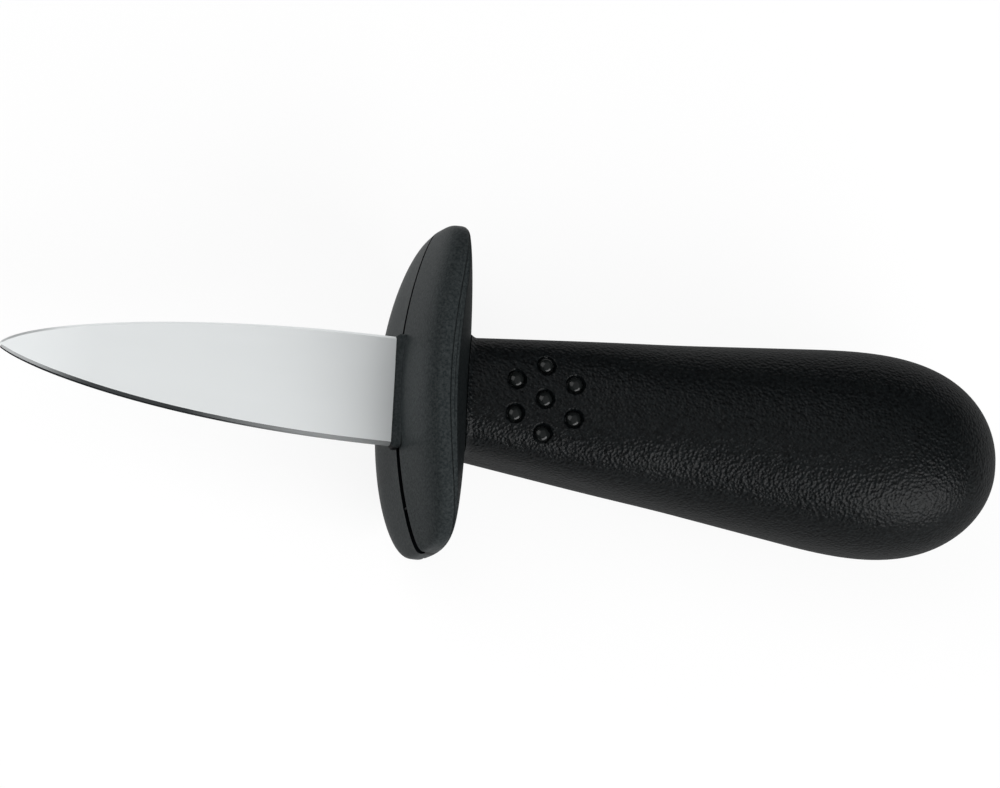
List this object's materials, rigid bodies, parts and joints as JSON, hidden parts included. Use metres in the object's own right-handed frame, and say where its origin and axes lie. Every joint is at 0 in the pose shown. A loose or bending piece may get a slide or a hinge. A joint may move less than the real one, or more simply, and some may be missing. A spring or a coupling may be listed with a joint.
{
  "type": "oyster knife",
  "caption": "Oyster knife with a short leaf-shaped steel blade, a broad oval hand guard in two halves and a bulbous black moulded grip with glossy thumb studs.",
  "frame": {"origin": "bottom centre of the bounding box, with the knife lying on its far side", "axes": "+X from the blade's point towards the butt, +Y across the blade's width towards its upper edge, +Z square to the blade's flat, out of the near side"},
  "size_m": [0.1706, 0.054, 0.037],
  "materials": {
    "blade_steel": "satin stainless steel, ground lengthwise",
    "guard_plastic": "fine satin grain",
    "grip_plastic": "matte with a leathery grain",
    "stud_plastic": "glossy"
  },
  "bodies": {
    "root": {"blade": "blade_steel", "guard_near_half": "guard_plastic", "guard_far_half": "guard_plastic", "handle": "grip_plastic", "grip_stud_near_middle": "stud_plastic", "grip_stud_near_top": "stud_plastic", "grip_stud_near_bottom": "stud_plastic", "grip_stud_near_front_upper": "stud_plastic", "grip_stud_near_front_lower": "stud_plastic", "grip_stud_near_rear_upper": "stud_plastic", "grip_stud_near_rear_lower": "stud_plastic", "grip_stud_far_middle": "stud_plastic", "grip_stud_far_top": "stud_plastic", "grip_stud_far_bottom": "stud_plastic", "grip_stud_far_front_upper": "stud_plastic", "grip_stud_far_front_lower": "stud_plastic", "grip_stud_far_rear_upper": "stud_plastic", "grip_stud_far_rear_lower": "stud_plastic"}
  },
  "joints": []
}
